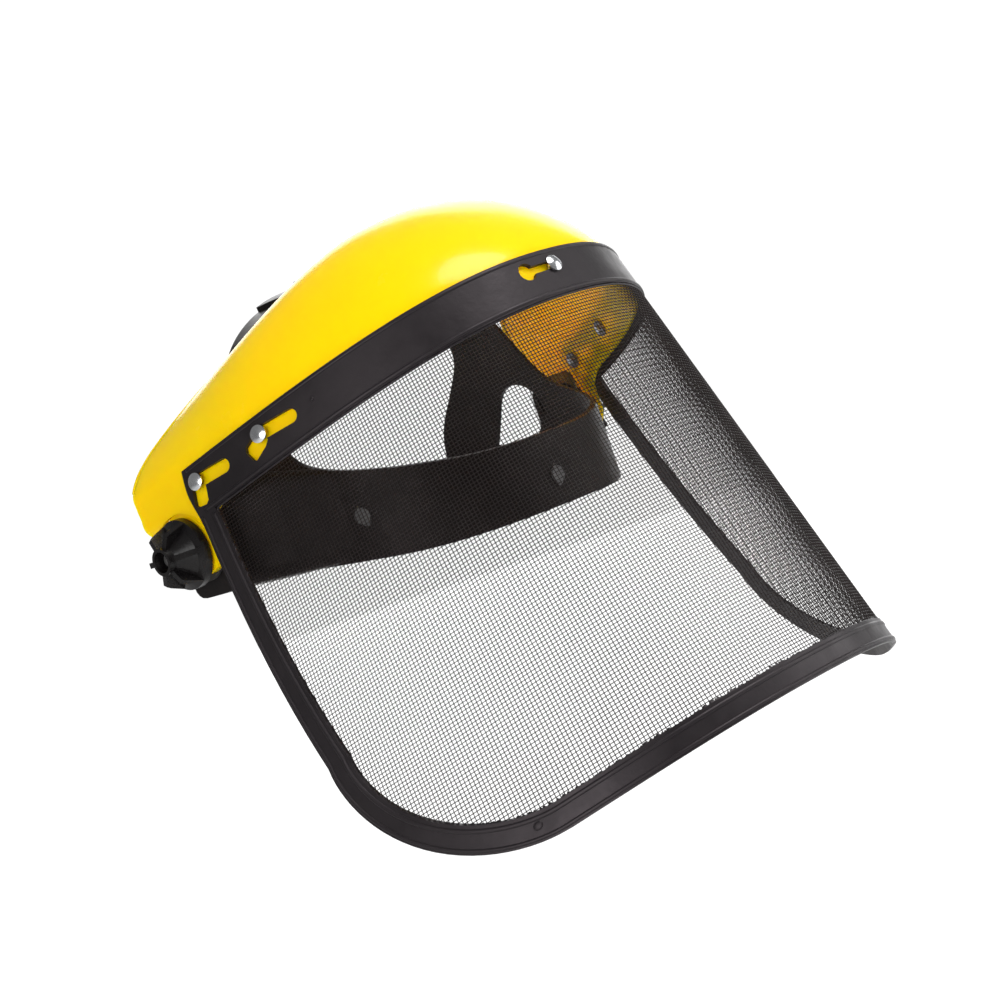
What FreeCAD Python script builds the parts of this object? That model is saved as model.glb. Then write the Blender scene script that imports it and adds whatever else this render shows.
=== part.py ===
import FreeCAD, Part
import math
import os
import Sketcher
from FreeCAD import Placement, Rotation, Vector

# Face shield: a head harness, a domed brow guard hinged on it, and a wire mesh visor on the guard.
# Row frame: +Z up as worn, -Y to the wearer's front, +X to the wearer's left, millimetres.
# The origin is the middle of the head opening, level with the middle of the headband's front.

SIZES = {
    # visor sheet: a flexible sheet bent round the guard, flaring towards the bottom
    "visor_half_width": 120.6,
    "visor_half_depth": 204.0,
    "visor_power": 2.24,
    "visor_centre": 68.6,
    "visor_top": 20.4,
    "visor_rear_rise": 4.7,
    "visor_rear_drop": 0.0138,
    "visor_height": 190.8,
    "visor_edge_arc": 175.3,
    "visor_edge_slant": 0.192,
    "visor_edge_bow": 6.5,
    "visor_ear": 1.8,
    "visor_corner": 64.2,
    "visor_corner_power": 1.7,
    "flare_apex": -137.2,
    "flare_length": 711.0,
    "frame_thick": 1.8,
    "mesh_thick": 0.8,
    "band_height": 19.5,
    "trim_side": 8.5,
    "trim_bottom": 10.5,
    # snap studs that hold the visor on the guard
    "stud_rear_arc": 169.8,
    "stud_front_arc": 135.5,
    "stud_depth": 7.0,
    "stud_head_radius": 3.4,
    "stud_head_height": 1.7,
    "stud_shank_radius": 1.6,
    "slot_width": 5.6,
    "slot_run": 14.8,
    "keyhole_radius": 3.7,
    "keyhole_offset": 14.0,
    "keyhole_neck": 3.4,
    # brow guard shell
    "guard_thick": 2.0,
    "guard_gap": 0.2,
    "guard_skirt": 17.6,
    "lobe_plane": 111.0,
    "lobe_bottom": 12.3,
    # hinge: axis through both side knobs
    "pivot_y": -12.0,
    "pivot_z": 16.0,
    "visor_tilt": 20.0,
    "bolt_radius": 3.0,
    "bolt_fit": 0.05,
    "bolt_head_radius": 6.5,
    "bolt_head_height": 3.0,
    "knob_radius": 13.9,
    "knob_flange": 3.2,
    "knob_length": 13.6,
    "knob_waist": 11.0,
    "knob_nose": 5.4,
    "knob_bore": 4.1,
    "knob_recess": 5.0,
    "fin_radius": 13.9,
    "fin_nose": 11.2,
    "fin_thick": 2.2,
    "fin_count": 6,
    "insert_radius": 4.0,
    "insert_length": 7.6,
    "steel_washer_radius": 8.0,
    "steel_washer_thick": 0.9,
    "friction_radius": 13.0,
    "friction_thick": 1.4,
    # headband
    "band_half_width": 79.0,
    "band_half_depth": 98.3,
    "band_power": 2.4,
    "band_thick": 2.2,
    "band_front_top": 15.5,
    "band_front_bottom": -13.5,
    "band_side_top": 13.0,
    "band_side_bottom": -5.0,
    "band_rear_end": 38.0,
    "pad_thick": 4.0,
    # crown strap
    "strap_thick": 2.0,
    "strap_top": 106.5,
    "strap_root": 12.0,
    "strap_lap": 22.0,
    "strap_foot": 22.0,
    "crown_y": -6.0,
    "strap_hole": 2.3,
    # rear band
    "rear_tail_x": 75.2,
    "rear_thick": 1.8,
    "rear_low": 1.5,
    "rear_high": 12.5,
    "rear_start": 34.0,
    "rear_reach": 96.0,
    "tail_front": -16.0,
    "pin_y": 20.0,
    "pin_radius": 2.0,
    "pin_head": 4.2,
    "pin_slot_front": 8.0,
    "pin_slot_rear": 34.0,
    # side arms that carry the hinge bolts
    "arm_wall": 2.4,
    "block_outer": 107.6,
    "boss_depth": 5.0,
}

doc = FreeCAD.newDocument("face_shield")
sheet = doc.addObject("Spreadsheet::Sheet", "sizes")
for row, (alias, value) in enumerate(SIZES.items(), start=1):
    sheet.set("A%d" % row, alias)
    sheet.set("B%d" % row, str(value))
    sheet.setAlias("B%d" % row, alias)
doc.recompute()

SUBPARTS = []


def size(alias):
    return float(sheet.get(alias))


# ---------------------------------------------------------------- expressions and sketches

def split_terms(text):
    """Split 'a+b-2.0' into signed terms."""
    marked = text.replace("-", "+-")
    found = []
    for term in marked.split("+"):
        term = term.strip()
        if term:
            sign = -1.0 if term.startswith("-") else 1.0
            found.append((sign, term.lstrip("-").strip()))
    return found


def number(text):
    total = 0.0
    for sign, term in split_terms(text):
        total += sign * (size(term) if term in SIZES else float(term))
    return total


def expression(text):
    parts = []
    for sign, term in split_terms(text):
        name = "sizes." + term if term in SIZES else term
        parts.append(("- " if sign < 0 else "+ ") + name)
    return " ".join(parts).lstrip("+ ")


def origin_plane(body, role):
    return next(f for f in body.Origin.OriginFeatures if f.Role == role)


def new_sketch(body, name, role):
    sketch = body.newObject("Sketcher::SketchObject", name)
    sketch.AttachmentSupport = [(origin_plane(body, role), "")]
    sketch.MapMode = "FlatFace"
    return sketch


def pin_point(sketch, edge, end, texts):
    """Hold one sketch point at sheet-driven coordinates."""
    for kind, axis, text in (("DistanceX", -2, texts[0]), ("DistanceY", -1, texts[1])):
        value = number(text)
        if abs(value) < 1e-9:
            sketch.addConstraint(Sketcher.Constraint("PointOnObject", edge, end, axis))
            continue
        index = sketch.addConstraint(Sketcher.Constraint(kind, -1, 1, edge, end, value))
        sketch.setExpression("Constraints[%d]" % index, expression(text))


def polygon_sketch(body, name, role, corners):
    sketch = new_sketch(body, name, role)
    points = [Vector(number(u), number(v), 0) for u, v in corners]
    count = len(points)
    for i in range(count):
        sketch.addGeometry(Part.LineSegment(points[i], points[(i + 1) % count]), False)
    for i in range(count):
        sketch.addConstraint(Sketcher.Constraint("Coincident", i, 2, (i + 1) % count, 1))
    for i, texts in enumerate(corners):
        pin_point(sketch, i, 1, texts)
    return sketch


def new_body(label):
    body = doc.addObject("PartDesign::Body", label)
    body.Label = label
    SUBPARTS.append(body)
    return body


def revolve(body, name, corners):
    """Turn a profile of (distance along X, radius) corners about the body's X axis."""
    sketch = polygon_sketch(body, name + "_profile", "XY_Plane", corners)
    turned = body.newObject("PartDesign::Revolution", name)
    turned.Profile = sketch
    turned.ReferenceAxis = (sketch, ["H_Axis"])
    turned.Angle = 360
    sketch.Visibility = False
    return turned, sketch


def keep_shape(label, shape, placement=None):
    feature = doc.addObject("Part::Feature", label)
    feature.Label = label
    feature.Shape = shape
    if placement is not None:
        feature.Placement = placement
    SUBPARTS.append(feature)
    return feature


def side_sign(side):
    return 1.0 if side == "left" else -1.0


PIVOT = Vector(0, size("pivot_y"), size("pivot_z"))
GUARD_PLACE = Placement(PIVOT, Rotation(Vector(1, 0, 0), -size("visor_tilt")))


# ---------------------------------------------------------------- plan curves

def superellipse(half_width, half_depth, power, centre, angle):
    """Point on a superellipse seen from above; angle 0 is the front, 90 degrees the left side."""
    wide = abs(math.sin(angle)) ** (2 / power) * math.copysign(1, math.sin(angle))
    deep = abs(math.cos(angle)) ** (2 / power) * math.copysign(1, math.cos(angle))
    return half_width * wide, centre - half_depth * deep


class PlanCurve:
    """Right half of the visor's top edge seen from above, measured by arc length from the front."""

    def __init__(self):
        count = 1500
        self.rows = []
        previous = None
        arc = 0.0
        for i in range(count + 1):
            angle = math.pi / 2 * i / count
            x, y = superellipse(size("visor_half_width"), size("visor_half_depth"),
                                size("visor_power"), size("visor_centre"), angle)
            if previous is not None:
                arc += math.hypot(x - previous[0], y - previous[1])
            self.rows.append((arc, x, y))
            previous = (x, y)

    def at(self, arc):
        target = abs(arc)
        low, high = 0, len(self.rows) - 1
        while high - low > 1:
            middle = (low + high) // 2
            if self.rows[middle][0] > target:
                high = middle
            else:
                low = middle
        a, b = self.rows[low], self.rows[high]
        part = (target - a[0]) / (b[0] - a[0])
        sign = math.copysign(1, arc)
        return sign * (a[1] + part * (b[1] - a[1])), a[2] + part * (b[2] - a[2])


PLAN = PlanCurve()


def visor_top_z(y):
    back = y - (size("visor_centre") - size("visor_half_depth"))
    return size("visor_top") + size("visor_rear_rise") * (back / 100) ** 2 - size("visor_rear_drop") * back


def sheet_point(arc, depth, inward=0.0):
    """Point on the visor sheet: arc along its top edge, depth below it, offset towards the head."""
    x, y = PLAN.at(arc)
    growth = 1 + depth / size("flare_length")
    apex = size("flare_apex")
    top = visor_top_z(y)
    nx, ny = sheet_normal(arc)
    return Vector(x * growth - nx * inward, apex + (y - apex) * growth - ny * inward, top - depth)


def sheet_normal(arc):
    """Outward horizontal normal of the sheet."""
    ax, ay = PLAN.at(arc - 0.5)
    bx, by = PLAN.at(arc + 0.5)
    length = math.hypot(bx - ax, by - ay)
    return (by - ay) / length, -(bx - ax) / length


def smooth_edge(points):
    curve = Part.BSplineCurve()
    curve.interpolate(points)
    return curve.toShape()


def ring_wire(curves):
    """Closed wire from point lists: a list of two points is a line, a longer one a smooth curve."""
    edges = []
    for points in curves:
        if len(points) == 2:
            edges.append(Part.LineSegment(points[0], points[1]).toShape())
        else:
            edges.append(smooth_edge(points))
    return Part.Wire(edges)


def side_prism(curves, reach=200.0):
    """Solid with the given outline in the YZ plane, running through the whole object along X."""
    wire = ring_wire([[Vector(-reach, p[0], p[1]) for p in points] for points in curves])
    return Part.Face(wire).extrude(Vector(2 * reach, 0, 0))


def stations(values):
    """Positive stations with their mirror images, in order from right to left."""
    return [-v for v in reversed(values) if v > 0] + list(values)


# ---------------------------------------------------------------- visor sheet

def sheet_slab(outer, inner, arcs):
    """Bent slab between two inward offsets, over the full height of the visor."""
    height = size("visor_height")
    wires = []
    for arc in arcs:
        a = sheet_point(arc, 0, outer)
        b = sheet_point(arc, height, outer)
        c = sheet_point(arc, height, inner)
        d = sheet_point(arc, 0, inner)
        wires.append(Part.makePolygon([a, b, c, d, a]))
    return Part.makeLoft(wires, True, False)


def edge_arc(depth):
    bow = size("visor_edge_bow") * math.sin(math.pi * depth / size("visor_height"))
    ear = size("visor_ear") * math.exp(-((depth - 11.0) / 6.5) ** 2)
    return size("visor_edge_arc") - size("visor_edge_slant") * depth + bow + ear


def corner_points(inset_side, inset_bottom, count=14):
    """Rear edge and rounded lower corner of the sheet in side view, from the top down."""
    height = size("visor_height") - inset_bottom
    radius = size("visor_corner")
    radius_in = radius - inset_side
    straight = size("visor_height") - radius
    start = size("band_height") - 4 if inset_side else -12.0
    side = []
    for i in range(count):
        depth = start + (straight - start) * i / (count - 1)
        spot = sheet_point(edge_arc(depth) - inset_side, depth)
        side.append((spot.y, spot.z))
    foot = edge_arc(straight)
    corner = []
    power = size("visor_corner_power")
    for i in range(count):
        angle = math.pi / 2 * i / (count - 1)
        across = max(math.cos(angle), 0.0) ** (2 / power)
        down = math.sin(angle) ** (2 / power)
        arc = foot - radius + radius_in * across
        depth = straight + (height - straight) * down
        spot = sheet_point(arc, depth)
        corner.append((spot.y, spot.z))
    return side, corner


def visor_outline_prism():
    side, corner = corner_points(0.0, 0.0)
    low = corner[-1]
    top = (side[0][0], 80.0)
    bottom = (low[0], low[1] - 40.0)
    front_low = (-190.0, bottom[1])
    front_high = (-190.0, 80.0)
    return side_prism([[top, side[0]], side, corner, [low, bottom],
                       [bottom, front_low], [front_low, front_high], [front_high, top]])


def window_prism():
    """Opening of the frame, where the mesh shows."""
    inset = size("trim_side")
    inset_low = size("trim_bottom")
    side, corner = corner_points(inset, inset_low)
    depth_top = size("band_height")
    start = next(i for i, p in enumerate(side) if p[1] < visor_top_z(p[0]) - depth_top)
    side = side[start:]
    rear_arc = edge_arc(depth_top) - inset
    first = sheet_point(rear_arc, depth_top)
    side = [(first.y, first.z)] + side
    bottom_depth = size("visor_height") - inset_low
    foot_arc = edge_arc(size("visor_height") - size("visor_corner")) - size("visor_corner")
    lower = []
    for i in range(9):
        spot = sheet_point(foot_arc * (1 - i / 8), bottom_depth)
        lower.append((spot.y, spot.z))
    lower[0] = corner[-1]
    upper = []
    for i in range(9):
        spot = sheet_point(rear_arc * i / 8, depth_top)
        upper.append((spot.y, spot.z))
    upper[-1] = side[0]
    front_low = (lower[-1][0] - 30, lower[-1][1])
    front_high = (upper[0][0] - 30, upper[0][1])
    return side_prism([side, corner, lower, [lower[-1], front_low], [front_low, front_high],
                       [front_high, upper[0]], upper])


def tangent_frame(arc, depth):
    """Point on the sheet with unit directions to the wearer's rear, up the sheet, and outwards."""
    spot = sheet_point(arc, depth)
    up = (sheet_point(arc, depth - 0.5) - sheet_point(arc, depth + 0.5)).normalize()
    along = (sheet_point(arc + 0.5, depth) - sheet_point(arc - 0.5, depth)).normalize()
    normal = along.cross(up)
    rear = along if arc >= 0 else along.negative()
    return spot, rear, up, normal


def oriented_prism(spot, across, up, normal, corners):
    """Prism through the sheet with its outline given in (across, up) coordinates."""
    base = [spot + across * u + up * v - normal * 8 for u, v in corners]
    return Part.Face(Part.makePolygon(base + [base[0]])).extrude(normal * 16)


def dogleg_slot(arc, leg):
    """Channel towards the front that keeps the stud, and a leg down and back that lets it in."""
    spot, rear, up, normal = tangent_frame(arc, size("stud_depth"))
    half = size("slot_width") / 2
    run = size("slot_run")
    drop = 1.4
    channel = oriented_prism(spot, rear, up, normal,
                             [(-run, -drop - half), (0.5, -half), (0.5, half), (-run, half - drop)])
    end = Part.makeCylinder(half, 16, spot - rear * run - up * drop - normal * 8, normal)
    lean = math.radians(leg["lean"])
    wide = leg["width"] / 2
    reach = leg["length"]
    down = rear * math.cos(lean) - up * math.sin(lean)
    across = rear * math.sin(lean) + up * math.cos(lean)
    first = spot - rear * leg["ahead"] - up * leg["below"]
    eye = Part.makeCylinder(half, 16, spot - normal * 8, normal)
    opening = oriented_prism(first, down, across, normal,
                             [(-1.0, -wide + 0.8), (1.5, -wide), (reach - 1.2, -wide), (reach, -wide + 1.4),
                              (reach, wide - 1.4), (reach - 1.2, wide), (0.0, wide), (-1.0, wide - 0.8)])
    return channel.fuse([end, eye, opening])


def keyhole_slot():
    spot, rear, up, normal = tangent_frame(0.0, size("stud_depth"))
    half = size("keyhole_neck") / 2
    hole = Part.makeCylinder(size("keyhole_radius"), 16,
                             spot - rear * size("keyhole_offset") - normal * 8, normal)
    neck = oriented_prism(spot, rear, up, normal,
                          [(-size("keyhole_offset"), -half), (0, -half), (0, half),
                           (-size("keyhole_offset"), half)])
    eye = Part.makeCylinder(half, 16, spot - normal * 8, normal)
    return hole.fuse([neck, eye])


SHEET_ARCS = stations([0, 20, 40, 60, 80, 100, 120, 140, 160, 185])
STUD_ARCS = [0.0, size("stud_front_arc"), -size("stud_front_arc"),
             size("stud_rear_arc"), -size("stud_rear_arc")]
# each slot's leg: degrees it turns down from straight back, its size, and where it leaves the stud
SLOT_LEGS = {"front": {"lean": 24.0, "width": 7.4, "length": 8.8, "ahead": 0.6, "below": 1.5},
             "rear": {"lean": 80.0, "width": 7.4, "length": 9.6, "ahead": 0.6, "below": 0.0}}


def build_visor():
    thick = size("frame_thick")
    slab = sheet_slab(0.0, thick, SHEET_ARCS)
    window = window_prism()
    frame = slab.common(visor_outline_prism()).cut(window)
    for arc in STUD_ARCS[1:]:
        frame = frame.cut(dogleg_slot(arc, SLOT_LEGS["front" if abs(arc) < 150 else "rear"]))
    frame = frame.cut(keyhole_slot())
    keep_shape("visor_frame", frame.Solids[0] if len(frame.Solids) == 1 else frame, GUARD_PLACE)

    middle = thick / 2
    half = size("mesh_thick") / 2
    net = sheet_slab(middle - half, middle + half, SHEET_ARCS).common(window)
    keep_shape("visor_mesh", net, GUARD_PLACE)


# ---------------------------------------------------------------- brow guard

# dome height and inward reach at stations along the visor's top edge
DOME_STATIONS = [0, 35, 70, 105, 140, 175, 222]
DOME_HEIGHTS = [52.0, 51.3, 50.0, 44.0, 35.6, 28.0, 21.6]
DOME_REACHES = [47.0, 46.4, 43.3, 36.0, 30.1, 27.8, 23.8]
REACH_POWER = 1.24
HEIGHT_POWER = 1.42


def between(values, arc):
    """Smooth reading of a station list at an arc, level at the middle of the front."""
    target = min(abs(arc), DOME_STATIONS[-1])
    last = len(DOME_STATIONS) - 1

    def slope(i):
        if i == 0:
            return 0.0
        after = min(i + 1, last)
        return (values[after] - values[i - 1]) / (DOME_STATIONS[after] - DOME_STATIONS[i - 1])

    for i in range(last):
        a, b = DOME_STATIONS[i], DOME_STATIONS[i + 1]
        if target <= b:
            span = b - a
            part = (target - a) / span
            rise = values[i + 1] - values[i]
            bend_a = slope(i) * span - rise
            bend_b = rise - slope(i + 1) * span
            return values[i] + part * rise + part * (1 - part) * ((1 - part) * bend_a + part * bend_b)
    return values[-1]


def ease(value):
    """Smooth step from 0 to 1."""
    held = min(max(value, 0.0), 1.0)
    return held * held * (3 - 2 * held)


def guard_section(arc):
    """Closed profile of the guard's wall: skirt behind the visor's band, then the dome."""
    lift = between(DOME_HEIGHTS, arc)
    reach = between(DOME_REACHES, arc)
    wall = size("guard_thick")
    start = size("frame_thick") + size("guard_gap")
    x, y = PLAN.at(arc)
    top = visor_top_z(y)
    nx, ny = sheet_normal(arc)
    low = -18.0

    def skirt(height, inward, limit):
        # below the studs the flare stops at the flat pad that carries the hinge
        depth = top - height
        spot = sheet_point(arc, depth, inward)
        over = max(abs(spot.x) - limit, 0.0) * ease((depth - 11.0) / 8)
        return Vector(spot.x - math.copysign(over, spot.x), spot.y, height)

    def crown(angle, shrink):
        inward = start + shrink + (reach - shrink) * (1 - math.cos(angle) ** REACH_POWER)
        height = top + 1.5 + (lift - shrink) * math.sin(angle) ** HEIGHT_POWER
        return Vector(x - nx * inward, y - ny * inward, height)

    heights = [low + (top + 1.5 - low) * i / 8 for i in range(9)]
    angles = [math.radians(a) for a in (12, 24, 36, 48, 60, 72, 83)]
    pad = size("lobe_plane")
    outer = [skirt(h, start, pad + wall) for h in heights] + [crown(a, 0.0) for a in angles]
    inner = [skirt(h, start + wall, pad) for h in heights] + [crown(a, wall) for a in angles]
    return ring_wire([outer, [outer[-1], inner[-1]], list(reversed(inner)), [inner[0], outer[0]]])


def guard_side_prism():
    """Side outline of the guard: level skirt in front, a rounded lobe round the hinge behind."""
    skirt = [(y, visor_top_z(y) - size("guard_skirt"))
             for y in (-190.0, -140.0, -115.0, -90.0, -68.0, -50.0, -38.0)]
    low = -size("lobe_bottom")
    front_low = skirt[0]
    front_high = (-190.0, 130.0)
    lower = [skirt[-1], (-28.0, skirt[-1][1] - 0.6), (-22.0, 2.5), (-18.6, -4.0), (-14.5, low + 2.4),
             (-8.0, low)]
    turn = [(-8.0, low), (0.0, low + 1.2), (6.0, low + 5.0)]
    back = [(6.0, low + 5.0), (8.6, -1.0), (10.6, 6.0), (12.0, 14.0), (12.6, 22.0), (12.4, 29.0),
            (11.2, 35.0), (8.0, 39.4), (1.6, 43.8), (-8.5, 47.6), (-19.0, 52.0), (-33.0, 57.6),
            (-51.0, 67.0), (-69.0, 80.0)]
    top_rear = (back[-1][0], 130.0)
    return side_prism([skirt, lower, turn, back,
                       [back[-1], top_rear], [top_rear, front_high], [front_high, front_low]])


def stud_axis_tools(radius, inner, outer):
    """Round tools through the wall at the five studs."""
    tools = []
    for arc in STUD_ARCS:
        spot, rear, up, normal = tangent_frame(arc, size("stud_depth"))
        tools.append(Part.makeCylinder(radius, outer - inner, spot + normal * inner, normal))
    return tools


def build_guard():
    arcs = stations([0, 15, 30, 45, 60, 80, 100, 120, 140, 160, 180, 200, 222])
    shell = Part.makeLoft([guard_section(arc) for arc in arcs], True, False)
    outline = guard_side_prism()
    shell = shell.common(outline)
    plane = size("lobe_plane")
    wall = size("guard_thick")
    bosses = []
    holes = []
    for sign in (1.0, -1.0):
        axis = Vector(sign, 0, 0)
        boss = Part.makeCylinder(size("knob_radius") + 1.6, 3.6, axis * (plane - 1.6), axis)
        bosses.append(boss.common(outline))
        holes.append(Part.makeCylinder(size("bolt_radius") + size("bolt_fit"), 30, axis * (plane - 12), axis))
        holes.append(Part.makeCylinder(size("knob_radius") + 1.6, 20, axis * (plane + wall), axis))
        holes.append(Part.makeCylinder(size("friction_radius") + 1.0, 12,
                                       axis * (plane - 13.6), axis))
    shell = shell.fuse(bosses)
    for tool in holes + stud_axis_tools(size("stud_shank_radius") + 0.02, -9.0, 3.0):
        shell = shell.cut(tool)
    solids = sorted(shell.Solids, key=lambda s: -s.Volume)
    if len(solids) > 1 and solids[1].Volume > 5.0:
        raise RuntimeError("the brow guard is in %d pieces" % len(solids))
    keep_shape("brow_guard", solids[0], GUARD_PLACE)


def stud_solid(arc):
    """Snap rivet: domed head over the visor's band, shank through the guard, tail inside."""
    spot, rear, up, normal = tangent_frame(arc, size("stud_depth"))
    inner = -(size("frame_thick") + size("guard_gap") + size("guard_thick") + 2.4)
    head = size("stud_head_radius")
    height = size("stud_head_height")
    shank = size("stud_shank_radius")
    stem = Part.makeCylinder(shank, 0.3 - inner + 0.2, spot + normal * inner, normal)
    disc = Part.makeCylinder(head, height * 0.45, spot + normal * 0.3, normal)
    dome_radius = (head ** 2 + (height * 0.55) ** 2) / (2 * height * 0.55)
    ball = Part.makeSphere(dome_radius, spot + normal * (0.3 + height - dome_radius))
    cap = ball.common(Part.makeCylinder(head, height, spot + normal * (0.3 + height * 0.45), normal))
    return stem.fuse([disc, cap]).removeSplitter()


def build_studs():
    keep_shape("visor_studs", Part.Compound([stud_solid(arc) for arc in STUD_ARCS]), GUARD_PLACE)
    wall = -(size("frame_thick") + size("guard_gap") + size("guard_thick"))
    rings = []
    for arc in STUD_ARCS:
        spot, rear, up, normal = tangent_frame(arc, size("stud_depth"))
        ring = Part.makeCylinder(3.6, 0.8, spot + normal * (wall - 1.1), normal)
        hole = Part.makeCylinder(size("stud_shank_radius"), 4, spot + normal * (wall - 3), normal)
        rings.append(ring.cut(hole))
    keep_shape("stud_washers", Part.Compound(rings), GUARD_PLACE)


build_visor()
build_guard()
build_studs()


# ---------------------------------------------------------------- hinge hardware

def bound_cylinder(name, radius, height):
    part = doc.addObject("Part::Cylinder", name)
    part.setExpression("Radius", expression(radius))
    part.setExpression("Height", expression(height))
    return part


def washer(label, outer, inner, thick, sign, start):
    """Flat ring on the hinge axis, its near face at a distance from the middle plane."""
    disc = bound_cylinder(label + "_disc", outer, thick)
    hole = bound_cylinder(label + "_hole", inner, thick)
    ring = doc.addObject("Part::Cut", label)
    ring.Base = disc
    ring.Tool = hole
    ring.Label = label
    ring.Placement = Placement(PIVOT + Vector(sign * start, 0, 0), Rotation(Vector(0, 1, 0), 90 * sign))
    SUBPARTS.append(ring)
    return ring


def axis_place(sign, start):
    """Body X axis along the hinge, pointing away from the head."""
    turn = Rotation() if sign > 0 else Rotation(Vector(0, 0, 1), 180)
    return Placement(PIVOT + Vector(sign * start, 0, 0), turn)


def build_knob(side):
    sign = side_sign(side)
    start = size("lobe_plane") + size("guard_thick") + 0.1 + size("steel_washer_thick") + 0.1
    body = new_body("knob_" + side)
    shell, sketch = revolve(body, "knob_turned_" + side, [
        ("0", "insert_radius"), ("0", "knob_radius"), ("knob_flange", "knob_radius"),
        ("knob_flange+1.2", "knob_waist"), ("knob_length-4.0", "knob_nose+1.0"),
        ("knob_length-3.0", "knob_nose"), ("knob_length", "knob_nose"),
        ("knob_length", "knob_bore"), ("knob_length-knob_recess", "knob_bore"),
        ("knob_length-knob_recess", "insert_radius")])
    fin = polygon_sketch(body, "fin_outline_" + side, "XY_Plane", [
        ("1.0", "knob_nose-1.0"), ("1.0", "knob_radius-1.0"), ("knob_flange", "fin_radius"),
        ("knob_length-4.0", "fin_nose+0.4"), ("knob_length-2.0", "fin_nose-0.6"),
        ("knob_length-1.2", "knob_nose-1.0")])
    pad = body.newObject("PartDesign::Pad", "fin_" + side)
    pad.Profile = fin
    pad.setExpression("Length", "sizes.fin_thick")
    pad.Midplane = True
    fin.Visibility = False
    doc.recompute()
    ring = body.newObject("PartDesign::PolarPattern", "fins_" + side)
    ring.Originals = [pad]
    ring.Axis = (sketch, ["H_Axis"])
    ring.Angle = 360
    ring.Occurrences = int(size("fin_count"))
    body.Tip = ring
    body.Placement = axis_place(sign, start)

    insert = new_body("knob_insert_" + side)
    revolve(insert, "insert_turned_" + side, [
        ("0.2", "bolt_radius+bolt_fit"), ("0.2", "insert_radius"),
        ("insert_length", "insert_radius"), ("insert_length", "bolt_radius+bolt_fit")])
    insert.Placement = axis_place(sign, start)

    washer("knob_washer_" + side, "steel_washer_radius", "bolt_radius+0.3", "steel_washer_thick",
           sign, size("lobe_plane") + size("guard_thick") + 0.1)
    washer("friction_washer_" + side, "friction_radius", "bolt_radius+0.3", "friction_thick",
           sign, size("lobe_plane") - 1.6 - size("friction_thick") - 0.1)

    bolt = new_body("pivot_bolt_" + side)
    tip = "lobe_plane+guard_thick+steel_washer_thick+knob_length-knob_recess-block_outer+boss_depth+2.0"
    revolve(bolt, "bolt_turned_" + side, [
        ("-bolt_head_height", "0"), ("-bolt_head_height", "bolt_head_radius-1.2"),
        ("-bolt_head_height+1.2", "bolt_head_radius"), ("0", "bolt_head_radius"),
        ("0", "bolt_radius"), (tip + "-0.6", "bolt_radius"),
        (tip, "bolt_radius-0.6"), (tip, "0")])
    bolt.Placement = axis_place(sign, size("block_outer") - size("boss_depth"))


for side in ("left", "right"):
    build_knob(side)


# ---------------------------------------------------------------- headband and side blocks

def band_plan(angle, inward=0.0):
    """Point on the headband's outer face seen from above."""
    return superellipse(size("band_half_width") - inward, size("band_half_depth") - inward,
                        size("band_power"), 0.0, angle)


def strip_slab(outer, inner, low, high, end_angle, count=23):
    """Vertical strip that follows the headband between two inward offsets."""
    out = []
    inn = []
    for i in range(count):
        angle = -end_angle + 2 * end_angle * i / (count - 1)
        x, y = band_plan(angle, outer)
        out.append(Vector(x, y, low))
        x, y = band_plan(angle, inner)
        inn.append(Vector(x, y, low))
    wire = ring_wire([out, [out[-1], inn[-1]], list(reversed(inn)), [inn[0], out[0]]])
    return Part.Face(wire).extrude(Vector(0, 0, high - low))


def build_headband():
    thick = size("band_thick")
    strip = strip_slab(-thick, 0.0, -30.0, 40.0, math.radians(118), 41)
    front = -size("band_half_depth") - 12
    rear = size("band_rear_end")
    foot = size("strap_foot")
    high = size("band_front_top")
    low = size("band_front_bottom")
    side_low = size("band_side_bottom")
    top = [(front, high), (-98.0, high + 0.4), (-92.0, high + 2.0), (-84.0, high + 4.4), (-76.0, foot)]
    dip = [(-30.0, foot), (-27.0, foot - 2.5), (-22.5, size("band_side_top") + 2.0),
           (-16.0, size("band_side_top"))]
    bottom = [(front, low), (-92.0, low + 0.3), (-79.0, low + 1.6), (-61.0, low + 4.3), (-45.0, low + 6.4),
              (-30.0, side_low - 0.7), (-10.0, side_low)]
    top_rear = (rear - 4.0, size("band_side_top"))
    rear_high = (rear, size("band_side_top") - 4.0)
    rear_low = (rear, side_low + 2.0)
    low_rear = (rear - 2.0, side_low)
    outline = side_prism([top, [top[-1], dip[0]], dip, [dip[-1], top_rear], [top_rear, rear_high],
                          [rear_high, rear_low],
                          [rear_low, low_rear], [low_rear, bottom[-1]], list(reversed(bottom)),
                          [bottom[0], top[0]]])
    band = strip.common(outline)
    slot = Part.makeBox(400, size("pin_slot_rear") - size("pin_slot_front") - 2 * size("pin_radius") - 0.6,
                        2 * size("pin_radius") + 0.6,
                        Vector(-200, size("pin_slot_front") + size("pin_radius") + 0.3,
                               pin_height() - size("pin_radius") - 0.3))
    ends = [Part.makeCylinder(size("pin_radius") + 0.3, 400, Vector(-200, y, pin_height()), Vector(1, 0, 0))
            for y in (size("pin_slot_front") + size("pin_radius") + 0.3,
                      size("pin_slot_rear") - size("pin_radius") - 0.3)]
    band = band.cut(slot.fuse(ends))
    for spot, normal in sweat_pin_spots():
        band = band.cut(Part.makeCylinder(1.5, 12, spot - normal * 6, normal))
    keep_shape("headband_front", band.Solids[0])


def pin_height():
    return (size("rear_low") + size("rear_high")) / 2


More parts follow.
